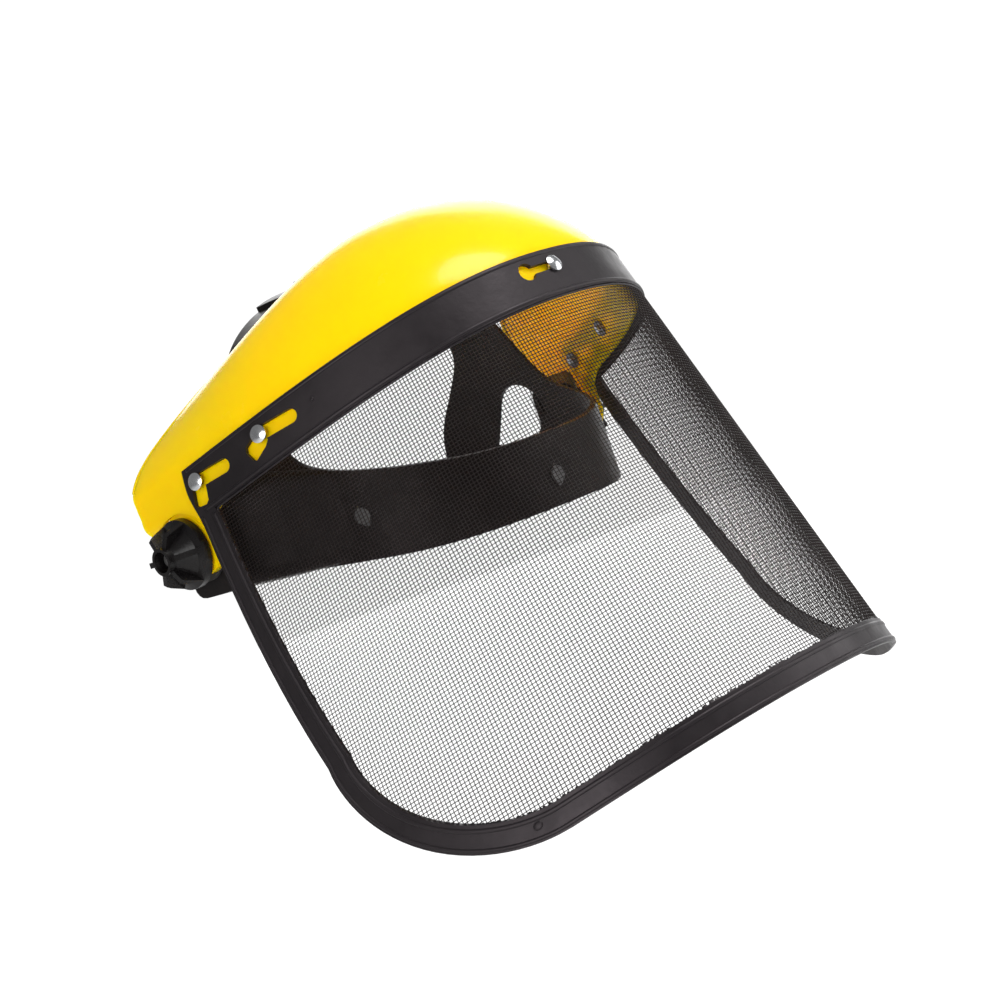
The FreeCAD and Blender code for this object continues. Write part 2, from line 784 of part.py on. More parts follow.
def sweat_pin_spots():
    """Outer-face positions and normals of the pegs that hold the sweatband."""
    spots = []
    for angle, z in ((-55, 8.0), (0, -1.5), (55, 8.0)):
        turn = math.radians(angle)
        ax, ay = band_plan(turn - 0.01, -size("band_thick"))
        bx, by = band_plan(turn + 0.01, -size("band_thick"))
        x, y = band_plan(turn, -size("band_thick"))
        length = math.hypot(bx - ax, by - ay)
        spots.append((Vector(x, y, z), Vector((by - ay) / length, -(bx - ax) / length, 0)))
    return spots


def build_sweatband():
    low = size("band_front_bottom") + 1.0
    high = size("band_front_top") - 1.0
    pad = strip_slab(0.3, 0.3 + size("pad_thick"), low, high, math.radians(66), 31)
    trim = side_prism([[(-110.0, low), (-84.0, low + 1.2)], [(-84.0, low + 1.2), (-30.0, low + 8.0)],
                       [(-30.0, low + 8.0), (-30.0, high)], [(-30.0, high), (-110.0, high)],
                       [(-110.0, high), (-110.0, low)]])
    pad = pad.common(trim)
    for spot, normal in sweat_pin_spots():
        pad = pad.cut(Part.makeCylinder(1.5, 12, spot - normal * 5.2, normal))
    keep_shape("sweatband", pad.Solids[0])
    pins = []
    for spot, normal in sweat_pin_spots():
        stem = Part.makeCylinder(1.4, 5.4, spot - normal * 5.0, normal)
        head = Part.makeCylinder(3.2, 1.1, spot + normal * 0.2, normal)
        pins.append(stem.fuse(head).removeSplitter())
    keep_shape("sweatband_pins", Part.Compound(pins))


# outline of the side arm at stations from the hinge in to the headband: x, then y and z limits
ARM_STATIONS = [(107.6, -27.0, 1.0, -3.0, 28.5), (100.5, -29.5, -1.5, -3.4, 34.5),
                (89.0, -42.0, -13.5, -5.0, 36.5), (70.0, -59.0, -33.0, -7.5, 29.5)]


def rounded_frame(x, box, inset, radius):
    """Rounded rectangle in the plane at x, drawn as one smooth closed wire."""
    y0, y1, z0, z1 = box[0] + inset, box[1] - inset, box[2] + inset, box[3] - inset
    points = []
    for cy, cz, first in ((y1 - radius, z1 - radius, 0), (y0 + radius, z1 - radius, 90),
                          (y0 + radius, z0 + radius, 180), (y1 - radius, z0 + radius, 270)):
        for step in range(5):
            angle = math.radians(first + 22.5 * step)
            points.append(Vector(x, cy + radius * math.cos(angle), cz + radius * math.sin(angle)))
    return Part.makePolygon(points + [points[0]])


def build_block(side):
    """Hollow arm that reaches out and back from the headband's side to the hinge."""
    sign = side_sign(side)
    outer = size("block_outer")
    wall = size("arm_wall")
    y = size("pivot_y")
    z = size("pivot_z")
    skin = [rounded_frame(row[0], row[1:], 0.0, 5.0) for row in ARM_STATIONS]
    arm = Part.makeLoft(skin, True, True)
    hollow = [rounded_frame(row[0], row[1:], wall, 3.0) for row in ARM_STATIONS[1:]]
    entry = rounded_frame(outer - size("boss_depth"), ARM_STATIONS[1][1:], wall, 3.0)
    room = Part.makeLoft([entry] + hollow, True, True)
    arm = arm.cut(room)
    arm = arm.cut(Part.makeCylinder(size("bolt_radius"), 60, Vector(60, y, z), Vector(1, 0, 0)))
    arm = arm.cut(strip_slab(-size("band_thick") - 0.05, 40.0, -40, 60, math.radians(118), 41))
    solid = sorted(arm.Solids, key=lambda s: -s.Volume)[0]
    if sign < 0:
        solid = solid.mirror(Vector(0, 0, 0), Vector(1, 0, 0))
    keep_shape("side_block_" + side, solid)


# ---------------------------------------------------------------- crown straps

def arch_slab(top, thick):
    """Dome-like slab over the head, from which a strap is cut."""
    wires = []
    for y in (-86, -74, -62, -50, -38, -24, -8, 8, 24, 38, 52, 66):
        share = (1 - (abs(y) / size("band_half_depth")) ** size("band_power")) ** (1 / size("band_power"))
        wide = size("band_half_width") * share + size("band_thick")
        root = size("strap_root")
        curves = []
        for shrink in (0.0, thick):
            points = []
            for i in range(17):
                angle = math.pi * i / 16
                points.append(Vector((wide - shrink) * math.cos(angle), y,
                                     root + (top - root - shrink) * max(math.sin(angle), 0.0)))
            curves.append(points)
        outer, inner = curves
        wires.append(ring_wire([outer, [outer[-1], inner[-1]], list(reversed(inner)), [inner[0], outer[0]]]))
    return Part.makeLoft(wires, True, False)


def strap_outline():
    """Side outline of the strap: two legs on the headband that join and lean forward to the crown."""
    foot = size("strap_foot")
    side = size("band_side_top")
    front = [(-76.0, foot), (-68.0, 24.4), (-54.0, 29.0), (-44.5, 33.6), (-38.5, 39.0), (-34.5, 46.5),
             (-32.0, 55.0), (-30.5, 66.0), (-28.0, 78.0), (-24.5, 90.0), (-22.0, 99.0), (-21.0, 112.0)]
    rear = [(14.0, 112.0), (12.5, 98.0), (9.0, 87.0), (4.0, 77.0), (1.6, 68.0), (4.6, 58.5), (14.0, 48.7),
            (23.5, 40.0), (31.5, 31.5), (36.0, 23.0), (37.3, side)]
    inner = [(8.5, side), (4.0, 20.0), (-1.5, 28.0), (-6.5, 34.0), (-13.5, 37.4), (-22.0, 36.8),
             (-28.0, 32.5), (-31.0, 27.0), (-30.0, foot)]
    return side_prism([front, [front[-1], rear[0]], rear, [rear[-1], inner[0]], inner,
                       [inner[-1], front[0]]])


def crown_pin_spots():
    return [Vector(x, size("crown_y"), 0) for x in (-9.0, 9.0)]


def build_straps():
    thick = size("strap_thick")
    top = size("strap_top")
    lap = size("strap_lap")
    outline = strap_outline()
    for side in ("left", "right"):
        sign = side_sign(side)
        crest = top if side == "left" else top - thick - 0.2
        strap = arch_slab(crest, thick).common(outline)
        half = Part.makeBox(200 + lap, 400, 400, Vector(-lap if sign > 0 else -200, -200, -100))
        strap = strap.common(half)
        holes = crown_pin_spots()
        if side == "right":
            holes = holes + [Vector(x, size("crown_y"), 0) for x in (-27.0, -18.0, 0.0)]
        for spot in holes:
            strap = strap.cut(Part.makeCylinder(size("strap_hole"), 60, Vector(spot.x, spot.y, top - 30),
                                                Vector(0, 0, 1)))
        solid = sorted(strap.Solids, key=lambda s: -s.Volume)[0]
        keep_shape("crown_strap_" + side, solid)
    pins = []
    for spot in crown_pin_spots():
        base = strap_height(spot.x, top - thick - 0.2) - thick - 1.0
        crest = strap_height(spot.x, top)
        shank = size("strap_hole") - 0.05
        stem = Part.makeCylinder(shank, crest - base + 0.9, Vector(spot.x, spot.y, base), Vector(0, 0, 1))
        cap = Part.makeCylinder(4.4, 1.2, Vector(spot.x, spot.y, crest + 0.35), Vector(0, 0, 1))
        pins.append(stem.fuse(cap).removeSplitter())
    keep_shape("crown_pins", Part.Compound(pins))


def strap_height(x, crest):
    root = size("strap_root")
    power = size("band_power")
    share = (1 - abs(size("crown_y") / size("band_half_depth")) ** power) ** (1 / power)
    wide = size("band_half_width") * share + size("band_thick")
    return root + (crest - root) * math.sqrt(1 - (x / wide) ** 2)


# ---------------------------------------------------------------- rear band

def rear_plan(outward, count=17):
    """Rear band seen from above: straight tails, then round the back of the head."""
    wide = size("rear_tail_x") + outward
    start = size("rear_start")
    deep = size("rear_reach") - start + outward
    points = []
    for i in range(count):
        angle = -math.pi / 2 + math.pi * i / (count - 1)
        x, y = superellipse(wide, -deep, 2.3, start, angle)
        points.append((x, y))
    return points


def build_rear():
    thick = size("rear_thick")
    low = size("rear_low")
    front = size("tail_front")
    outer = [Vector(x, y, low) for x, y in rear_plan(0.0)]
    inner = [Vector(x, y, low) for x, y in rear_plan(-thick)]
    wide = size("rear_tail_x")
    right_out = Vector(-wide, front, low)
    right_in = Vector(-wide + thick, front, low)
    left_out = Vector(wide, front, low)
    left_in = Vector(wide - thick, front, low)
    wire = ring_wire([outer, [outer[-1], left_out], [left_out, left_in], [left_in, inner[-1]],
                      list(reversed(inner)), [inner[0], right_in], [right_in, right_out],
                      [right_out, outer[0]]])
    band = Part.Face(wire).extrude(Vector(0, 0, size("rear_high") - low))
    for sign in (1, -1):
        start = Vector(sign * 50, size("pin_y"), pin_height())
        band = band.cut(Part.makeCylinder(size("pin_radius"), 60, start, Vector(sign, 0, 0)))
    vent = Part.makeBox(22, 60, 5, Vector(-11, 60, pin_height() - 2.5))
    for shift in (-32, 0, 32):
        slot = vent.copy()
        slot.translate(Vector(shift, 0, 0))
        band = band.cut(slot)
    keep_shape("rear_band", band.Solids[0])

    pins = []
    for sign in (1, -1):
        axis = Vector(sign, 0, 0)
        base = Vector(sign * (wide - thick), size("pin_y"), pin_height())
        stem = Part.makeCylinder(size("pin_radius"), 9.6, base, axis)
        head = Part.makeCylinder(size("pin_head"), 1.8, base + axis * 8.6, axis)
        pins.append(stem.fuse(head).removeSplitter())
    keep_shape("size_pins", Part.Compound(pins))

    pad_out = rear_plan(-thick - 0.2, 33)[11:22]
    pad_in = rear_plan(-thick - 5.2, 33)[11:22]
    out = [Vector(x, y, low - 3) for x, y in pad_out]
    inn = [Vector(x, y, low - 3) for x, y in pad_in]
    wire = ring_wire([out, [out[-1], inn[-1]], list(reversed(inn)), [inn[0], out[0]]])
    keep_shape("nape_pad", Part.Face(wire).extrude(Vector(0, 0, size("rear_high") - low + 6)))


build_headband()
build_sweatband()
for side in ("left", "right"):
    build_block(side)
build_straps()
build_rear()

# ---------------------------------------------------------------- checks and export

doc.recompute()
for item in doc.Objects:
    if "Invalid" in item.State or "Error" in item.State:
        raise RuntimeError("%s failed: %s" % (item.Label, item.State))
for item in SUBPARTS:
    shape = item.Shape
    if shape.isNull() or not shape.isValid() or not shape.Solids:
        raise RuntimeError("%s has no valid solid" % item.Label)

os.makedirs("parts", exist_ok=True)
for item in SUBPARTS:
    item.Shape.exportStep("parts/%s.step" % item.Label)
    box = item.Shape.BoundBox
    print("%-24s solids %d volume %9.0f  x %6.1f %6.1f  y %6.1f %6.1f  z %6.1f %6.1f" % (
        item.Label, len(item.Shape.Solids), item.Shape.Volume,
        box.XMin, box.XMax, box.YMin, box.YMax, box.ZMin, box.ZMax))
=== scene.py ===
import math

import bpy
import numpy as np
from mathutils import Matrix, Vector


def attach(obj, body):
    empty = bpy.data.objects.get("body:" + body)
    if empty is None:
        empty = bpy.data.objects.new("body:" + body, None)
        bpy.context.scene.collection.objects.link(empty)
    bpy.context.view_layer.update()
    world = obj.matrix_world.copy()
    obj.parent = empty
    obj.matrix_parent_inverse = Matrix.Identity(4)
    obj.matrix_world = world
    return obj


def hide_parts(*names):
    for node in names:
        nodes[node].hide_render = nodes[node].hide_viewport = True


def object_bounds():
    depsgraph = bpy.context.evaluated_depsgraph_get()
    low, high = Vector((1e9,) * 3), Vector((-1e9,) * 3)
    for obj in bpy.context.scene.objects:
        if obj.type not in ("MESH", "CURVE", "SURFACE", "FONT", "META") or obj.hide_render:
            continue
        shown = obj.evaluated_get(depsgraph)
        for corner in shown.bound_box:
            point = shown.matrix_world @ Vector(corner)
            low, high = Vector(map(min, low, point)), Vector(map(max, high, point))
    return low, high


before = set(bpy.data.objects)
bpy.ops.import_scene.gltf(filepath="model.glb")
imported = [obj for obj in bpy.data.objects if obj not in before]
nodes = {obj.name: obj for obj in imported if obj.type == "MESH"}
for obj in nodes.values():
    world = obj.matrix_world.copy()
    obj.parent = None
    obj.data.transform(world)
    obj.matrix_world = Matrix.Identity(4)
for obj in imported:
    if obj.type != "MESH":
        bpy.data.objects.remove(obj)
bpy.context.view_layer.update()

MM = 0.001
chance = np.random.default_rng(11)

# ---------------------------------------------------------------- the visor sheet, as the CAD draws it (mm)

TILT = math.radians(20.0)
PIVOT = np.array([0.0, -12.0, 16.0])
HEIGHT, BAND, TRIM_SIDE, TRIM_LOW = 190.8, 19.5, 8.5, 10.5
CORNER, CORNER_POWER = 64.2, 1.7


def power(values, exponent):
    return np.sign(values) * np.abs(values) ** exponent


theta = np.linspace(0.0, math.pi / 2, 6001)
PLAN_X = 120.6 * power(np.sin(theta), 2 / 2.24)
PLAN_Y = 68.6 - 204.0 * power(np.cos(theta), 2 / 2.24)
PLAN_ARC = np.concatenate([[0.0], np.cumsum(np.hypot(np.diff(PLAN_X), np.diff(PLAN_Y)))])


def plan(arc):
    arc = np.asarray(arc, float)
    x = np.interp(np.abs(arc), PLAN_ARC, PLAN_X) * np.sign(arc)
    return x, np.interp(np.abs(arc), PLAN_ARC, PLAN_Y)


def sheet_point(arc, depth, inward=0.0):
    """Points on the visor sheet in the guard's frame; the arc is negative on the right."""
    arc, depth, inward = np.broadcast_arrays(np.asarray(arc, float), depth, inward)
    x, y = plan(arc)
    ax, ay = plan(arc - 0.5)
    bx, by = plan(arc + 0.5)
    span = np.hypot(bx - ax, by - ay)
    nx, ny = (by - ay) / span, -(bx - ax) / span
    back = y + 135.4
    top = 20.4 + 4.7 * (back / 100) ** 2 - 0.0138 * back
    growth = 1 + depth / 711.0
    return np.stack([x * growth - nx * inward, -137.2 + (y + 137.2) * growth - ny * inward, top - depth], -1)


def to_row(points):
    """From the guard's frame in mm to the row frame in metres."""
    points = np.asarray(points, float)
    c, s = math.cos(TILT), math.sin(TILT)
    y = points[..., 1] * c + points[..., 2] * s
    z = -points[..., 1] * s + points[..., 2] * c
    return (np.stack([points[..., 0], y, z], -1) + PIVOT) * MM


def edge_arc(depth):
    bow = 6.5 * np.sin(np.pi * depth / HEIGHT)
    return 175.3 - 0.192 * depth + bow + 1.8 * np.exp(-((depth - 11.0) / 6.5) ** 2)


def outline(inset_side, inset_low, start=0.0, step=1.2):
    """Arc and depth along the sheet's edge at an inset: down the left side, round, and up the right."""
    straight = HEIGHT - CORNER
    low = HEIGHT - inset_low
    foot = edge_arc(straight)
    depth = np.linspace(start, straight, 120)
    rows = [np.stack([edge_arc(depth) - inset_side, depth], 1)]
    angle = np.linspace(0, math.pi / 2, 120)[1:]
    rows.append(np.stack([foot - CORNER + (CORNER - inset_side) * np.cos(angle).clip(0) ** (2 / CORNER_POWER),
                          straight + (low - straight) * np.sin(angle) ** (2 / CORNER_POWER)], 1))
    arc = np.linspace(foot - CORNER, 0, 100)[1:]
    rows.append(np.stack([arc, np.full_like(arc, low)], 1))
    half = np.concatenate(rows)
    whole = np.concatenate([half, (half * [-1, 1])[::-1][1:]])
    run = np.concatenate([[0], np.cumsum(np.hypot(*np.diff(whole, axis=0).T))])
    even = np.linspace(0, run[-1], int(run[-1] / step))
    return np.stack([np.interp(even, run, whole[:, 0]), np.interp(even, run, whole[:, 1])], 1)


# ---------------------------------------------------------------- materials

def ramp(tree, factor, low, high, a=0.3, b=0.7):
    node = tree.nodes.new("ShaderNodeValToRGB")
    node.color_ramp.elements[0].position = a
    node.color_ramp.elements[0].color = (*low, 1)
    node.color_ramp.elements[1].position = b
    node.color_ramp.elements[1].color = (*high, 1)
    tree.links.new(factor, node.inputs["Fac"])
    return node.outputs["Color"]


def noise(tree, place, scale, detail=4.0, rough=0.55):
    node = tree.nodes.new("ShaderNodeTexNoise")
    node.inputs["Scale"].default_value = scale
    node.inputs["Detail"].default_value = detail
    node.inputs["Roughness"].default_value = rough
    tree.links.new(place, node.inputs["Vector"])
    return node.outputs["Fac"]


def spread(tree, factor, low, high):
    node = tree.nodes.new("ShaderNodeMapRange")
    node.inputs["From Min"].default_value = 0.3
    node.inputs["From Max"].default_value = 0.7
    node.inputs["To Min"].default_value = low
    node.inputs["To Max"].default_value = high
    tree.links.new(factor, node.inputs["Value"])
    return node.outputs["Result"]


def finish_of(name, dark, light, rough, grain=(900.0, 0.12, 0.0002), tint=22.0, **fixed):
    """A finish with mottled colour, uneven gloss and a grain given as scale, strength and depth in m."""
    made = bpy.data.materials.new(name)
    made.use_nodes = True
    tree = made.node_tree
    shader = tree.nodes["Principled BSDF"]
    place = tree.nodes.new("ShaderNodeTexCoord").outputs["Object"]
    tree.links.new(ramp(tree, noise(tree, place, tint), dark, light), shader.inputs["Base Color"])
    tree.links.new(spread(tree, noise(tree, place, tint * 3.1, 6.0), *rough), shader.inputs["Roughness"])
    bump = tree.nodes.new("ShaderNodeBump")
    bump.inputs["Strength"].default_value = grain[1]
    bump.inputs["Distance"].default_value = grain[2]
    tree.links.new(noise(tree, place, grain[0], 3.0), bump.inputs["Height"])
    tree.links.new(bump.outputs["Normal"], shader.inputs["Normal"])
    for key, value in fixed.items():
        shader.inputs[key.replace("_", " ")].default_value = value
    return made


# warm tints of the highlights on the black plastics
LILAC_SHINE = (1.0, 0.88, 0.93, 1.0)
BROWN_SHINE = (1.0, 0.88, 0.88, 1.0)
WIRE_SHINE = (1.0, 0.86, 0.86, 1.0)

M_GUARD = finish_of("guard_yellow", (0.98, 0.52, 0.0), (1.0, 0.56, 0.0), (0.20, 0.28), (160.0, 0.10, 0.0004),
                    tint=14.0, Coat_Weight=0.10, Coat_Roughness=0.06, Specular_IOR_Level=0.12,
                    Subsurface_Weight=0.8, Subsurface_Radius=(1.0, 0.66, 0.04), Subsurface_Scale=0.008)
M_PVC = finish_of("pvc_black", (0.0050, 0.0042, 0.0048), (0.0105, 0.0090, 0.0098), (0.36, 0.52),
                  (420.0, 0.25, 0.0003), tint=30.0, Specular_IOR_Level=0.3, Specular_Tint=LILAC_SHINE)
M_WIRE = finish_of("wire_black", (0.006, 0.0048, 0.0044), (0.016, 0.012, 0.0115), (0.30, 0.50),
                   (1500.0, 0.2, 0.0001), tint=60.0, Specular_IOR_Level=0.14, Specular_Tint=WIRE_SHINE)
M_STUD = finish_of("stud_metal", (0.45, 0.46, 0.48), (0.68, 0.69, 0.70), (0.14, 0.26), (900.0, 0.15, 0.0001),
                   tint=120.0, Metallic=1.0)
M_ZINC = finish_of("zinc_steel", (0.20, 0.20, 0.20), (0.36, 0.35, 0.34), (0.30, 0.50), (700.0, 0.2, 0.0001),
                   tint=90.0, Metallic=1.0)
M_KNOB = finish_of("knob_black", (0.003, 0.0025, 0.003), (0.008, 0.007, 0.007), (0.20, 0.32),
                   (520.0, 0.22, 0.0003), tint=40.0, Specular_IOR_Level=0.2)
M_BRASS = finish_of("insert_brass", (0.55, 0.40, 0.16), (0.74, 0.58, 0.28), (0.22, 0.38),
                    (900.0, 0.2, 0.0001), tint=150.0, Metallic=1.0)
M_RUBBER = finish_of("friction_rubber", (0.020, 0.020, 0.020), (0.050, 0.050, 0.050), (0.6, 0.8),
                     (800.0, 0.5, 0.0002), tint=70.0)
M_HARNESS = finish_of("harness_black", (0.0045, 0.0038, 0.0038), (0.010, 0.0085, 0.0082), (0.30, 0.44),
                      (600.0, 0.25, 0.0002), tint=26.0, Specular_IOR_Level=0.09, Specular_Tint=BROWN_SHINE)
M_FOAM = finish_of("sweatband_cover", (0.020, 0.019, 0.021), (0.055, 0.052, 0.055), (0.75, 0.92),
                   (1800.0, 0.8, 0.0003), tint=80.0, Sheen_Weight=0.5, Sheen_Roughness=0.4)
M_PIN = finish_of("pin_black", (0.030, 0.029, 0.030), (0.060, 0.057, 0.057), (0.3, 0.45),
                  (700.0, 0.2, 0.0002), tint=60.0)

SLOT_FINISH = {"guard_plastic": M_GUARD, "pvc_trim": M_PVC, "wire_mesh": M_WIRE, "stud_metal": M_STUD,
               "zinc_steel": M_ZINC, "knob_plastic": M_KNOB, "insert_brass": M_BRASS,
               "friction_rubber": M_RUBBER, "harness_plastic": M_HARNESS, "sweatband_foam": M_FOAM,
               "pin_plastic": M_PIN}
NODE_SLOT = {"visor_frame": "pvc_trim", "visor_mesh": "wire_mesh", "brow_guard": "guard_plastic",
             "visor_studs": "stud_metal", "stud_washers": "zinc_steel", "headband_front": "harness_plastic",
             "sweatband": "sweatband_foam", "sweatband_pins": "pin_plastic", "crown_pins": "pin_plastic",
             "rear_band": "harness_plastic", "size_pins": "pin_plastic", "nape_pad": "sweatband_foam"}
for side in ("left", "right"):
    NODE_SLOT.update({"knob_" + side: "knob_plastic", "knob_insert_" + side: "insert_brass",
                      "knob_washer_" + side: "zinc_steel", "friction_washer_" + side: "friction_rubber",
                      "pivot_bolt_" + side: "zinc_steel", "side_block_" + side: "harness_plastic",
                      "crown_strap_" + side: "harness_plastic"})
for name, node in nodes.items():
    node.data.materials.clear()
    node.data.materials.append(SLOT_FINISH[NODE_SLOT[name]])


# ---------------------------------------------------------------- making pieces

def signed_volume(points, faces):
    """Six times the volume of a closed form, negative when its faces turn inward."""
    spots = np.array([tuple(p) for p in points])
    spots = spots - spots.mean(0)
    corners = np.array([(f[0], f[i], f[i + 1]) for f in faces for i in range(1, len(f) - 1)])
    a, b, c = (spots[corners[:, k]] for k in range(3))
    return float((a * np.cross(b, c)).sum())


def piece(name, points, faces, body, slot, smooth=True):
    if signed_volume(points, faces) < 0:
        faces = [tuple(f)[::-1] for f in faces]
    mesh = bpy.data.meshes.new(name)
    mesh.from_pydata([tuple(p) for p in points], [], [tuple(f) for f in faces])
    mesh.polygons.foreach_set("use_smooth", [smooth] * len(mesh.polygons))
    mesh.materials.append(SLOT_FINISH[slot])
    mesh.update()
    made = bpy.data.objects.new(name, mesh)
    bpy.context.scene.collection.objects.link(made)
    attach(made, body)
    return made


def grid_faces(rows, columns, closed=True, caps=False):
    """Faces of a sweep with points in (row, column) order, closed round its columns."""
    faces = []
    last = columns if closed else columns - 1
    for i in range(rows - 1):
        for j in range(last):
            k = (j + 1) % columns
            faces.append((i * columns + j, i * columns + k, (i + 1) * columns + k, (i + 1) * columns + j))
    if caps:
        faces.append(tuple(range(columns))[::-1])
        faces.append(tuple((rows - 1) * columns + j for j in range(columns)))
    return faces


def on_sheet(path, profile):
    """Sweeps a profile of (sideways, outward) mm along an arc and depth path on the visor sheet."""
    path = np.asarray(path, float)
    spots = sheet_point(path[:, 0], path[:, 1])
    along = np.gradient(spots, axis=0)
    along /= np.linalg.norm(along, axis=1)[:, None]
    e = 0.4
    down = sheet_point(path[:, 0], path[:, 1] + e) - sheet_point(path[:, 0], path[:, 1] - e)
    side = sheet_point(path[:, 0] + e, path[:, 1]) - sheet_point(path[:, 0] - e, path[:, 1])
    normal = np.cross(down, side)
    normal /= np.linalg.norm(normal, axis=1)[:, None]
    outward = sheet_point(path[:, 0], path[:, 1], -1.0) - spots
    normal *= np.sign((normal * outward).sum(1))[:, None]
    across = np.cross(normal, along)
    profile = np.asarray(profile, float)
    if profile.ndim == 2:
        profile = np.broadcast_to(profile, (len(path), *profile.shape))
    points = (spots[:, None] + across[:, None] * profile[..., :1] + normal[:, None] * profile[..., 1:])
    return to_row(points).reshape(-1, 3), len(path), profile.shape[1]


def bead(name, path, wide, high, slot="pvc_trim", body="visor", sink=0.25):
    """Low rounded rib that follows a path on the sheet."""
    angles = np.linspace(0, math.pi, 6)
    profile = [(wide / 2 * math.cos(a), high * math.sin(a)) for a in angles]
    profile += [(-wide / 2, -sink), (wide / 2, -sink)]
    points, rows, columns = on_sheet(path, profile)
    return piece(name, points, grid_faces(rows, columns, caps=True), body, slot)


# ---------------------------------------------------------------- woven wire cloth in the visor

PITCH = 1.35
WIRE = 0.165
WAVE = 0.11


def window_limit(depth):
    """Arc where the wires end at a depth, a little way into the trim."""
    edge = outline(TRIM_SIDE - 2.6, TRIM_LOW - 2.6, 10.0)
    half = edge[:len(edge) // 2 + 1]
    order = np.argsort(half[:, 1])
    return np.interp(depth, half[order, 1], half[order, 0], left=half[0, 0], right=0.0)


def weave():
    columns = np.arange(-124, 125)
    arcs = columns * PITCH
    levels = np.arange(0, 124)
    depths = BAND - 2.4 + levels * PITCH
    depths = depths[depths < HEIGHT - TRIM_LOW + 2.6]
    levels = levels[:len(depths)]
    limit = window_limit(depths)
    inside = np.abs(arcs)[:, None] <= limit[None, :]
    sway = np.where((columns[:, None] + levels[None, :]) % 2 == 0, WAVE, -WAVE)
    drift = 0.006 * chance.standard_normal(sway.shape)
    a = arcs[:, None] + 0 * depths[None, :] + drift
    d = depths[None, :] + 0 * arcs[:, None] + drift[::-1]
    middle = sheet_point(a, d, 0.9)
    outward = sheet_point(a, d, -0.1) - middle
    outward /= np.linalg.norm(outward, axis=-1)[..., None]
    sideways = np.gradient(middle, axis=0)
    sideways /= np.linalg.norm(sideways, axis=-1)[..., None]
    downward = np.gradient(middle, axis=1)
    downward /= np.linalg.norm(downward, axis=-1)[..., None]
    rings = []
    weft = (middle + outward * sway[..., None], downward, WIRE)
    warp = (middle - outward * sway[..., None], -sideways, WIRE * 1.1)
    for centre, cross, thick in (weft, warp):
        rings.append(to_row(np.stack([centre + outward * thick, centre + cross * thick,
                                      centre - outward * thick, centre - cross * thick], 2)))
    bounds = [0, 50, 87, 124, 161, 198, len(columns) - 1]
    for number in range(len(bounds) - 1):
        first, last = bounds[number], bounds[number + 1]
        points, faces, total = [], [], 0
        for kind, ring in enumerate(rings):
            part = ring[first:last + 1]
            keep = inside[first:last + 1]
            wide, tall = keep.shape
            index = (np.arange(wide * tall) * 4).reshape(wide, tall) + total
            if kind == 0:
                use = keep[:-1] & keep[1:]
                a0, a1 = index[:-1][use], index[1:][use]
            else:
                use = keep[:, :-1] & keep[:, 1:]
                if last < len(columns) - 1:
                    use[-1] = False
                a0, a1 = index[:, :-1][use], index[:, 1:][use]
            for k in range(4):
                n = (k + 1) % 4
                faces.append(np.stack([a0 + k, a0 + n, a1 + n, a1 + k], 1))
            points.append(part.reshape(-1, 3))
            total += wide * tall * 4
        points, faces = np.concatenate(points), np.concatenate(faces)
        used, inverse = np.unique(faces, return_inverse=True)
        faces = inverse.reshape(-1, 4)
        name = "mesh_weave_%d" % (number + 1)
        mesh = bpy.data.meshes.new(name)
        mesh.vertices.add(len(used))
        mesh.vertices.foreach_set("co", points[used].astype(np.float32).ravel())
        mesh.loops.add(len(faces) * 4)
        mesh.loops.foreach_set("vertex_index", faces.astype(np.int32).ravel())
        mesh.polygons.add(len(faces))
        mesh.polygons.foreach_set("loop_start", np.arange(0, len(faces) * 4, 4, dtype=np.int32))
        mesh.polygons.foreach_set("use_smooth", np.ones(len(faces), bool))
        mesh.update(calc_edges=True)
        mesh.validate()
        mesh.materials.append(M_WIRE)
        net = bpy.data.objects.new(name, mesh)
        bpy.context.scene.collection.objects.link(net)
        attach(net, "visor")
    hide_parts("visor_mesh")


weave()

# ---------------------------------------------------------------- ribs, grooves and flash on the vinyl trim

bead("trim_rib_outer", outline(1.3, 1.5, 20.0), 1.5, 0.45)
bead("trim_rib_inner", outline(6.6, 8.4, 21.0), 1.8, 0.40)
rail = np.linspace(-1, 1, 300)
bead("band_rib_lower", np.stack([rail * (edge_arc(18.2) - 4.0), np.full(300, 18.2)], 1), 1.6, 0.45)
bead("band_rib_upper", np.stack([rail * (edge_arc(1.0) - 2.0), np.full(300, 1.1)], 1), 1.4, 0.35)


def bump_on_sheet(name, arc, depth, wide, high):
    """Low round bump left by the mould on the sheet."""
    turn = np.linspace(0, 2 * math.pi, 17)
    spot = np.stack([arc + wide * np.cos(turn) * 0.5, depth + wide * np.sin(turn) * 0.5], 1)
    rows = []
    for k in range(5):
        lean = math.pi / 2 * k / 4.5
        shrink = math.cos(lean)
        ring = sheet_point(arc + (spot[:-1, 0] - arc) * shrink, depth + (spot[:-1, 1] - depth) * shrink,
                           -high * math.sin(lean) + (0.3 if k == 0 else 0.0))
        rows.append(to_row(ring))
    return piece(name, np.concatenate(rows), grid_faces(5, 16, caps=True), "visor", "pvc_trim")


bump_on_sheet("mould_bump", -110.3, 8.2, 1.6, 0.6)
bump_on_sheet("mould_gate", -99.7, 184.1, 3.2, 0.5)


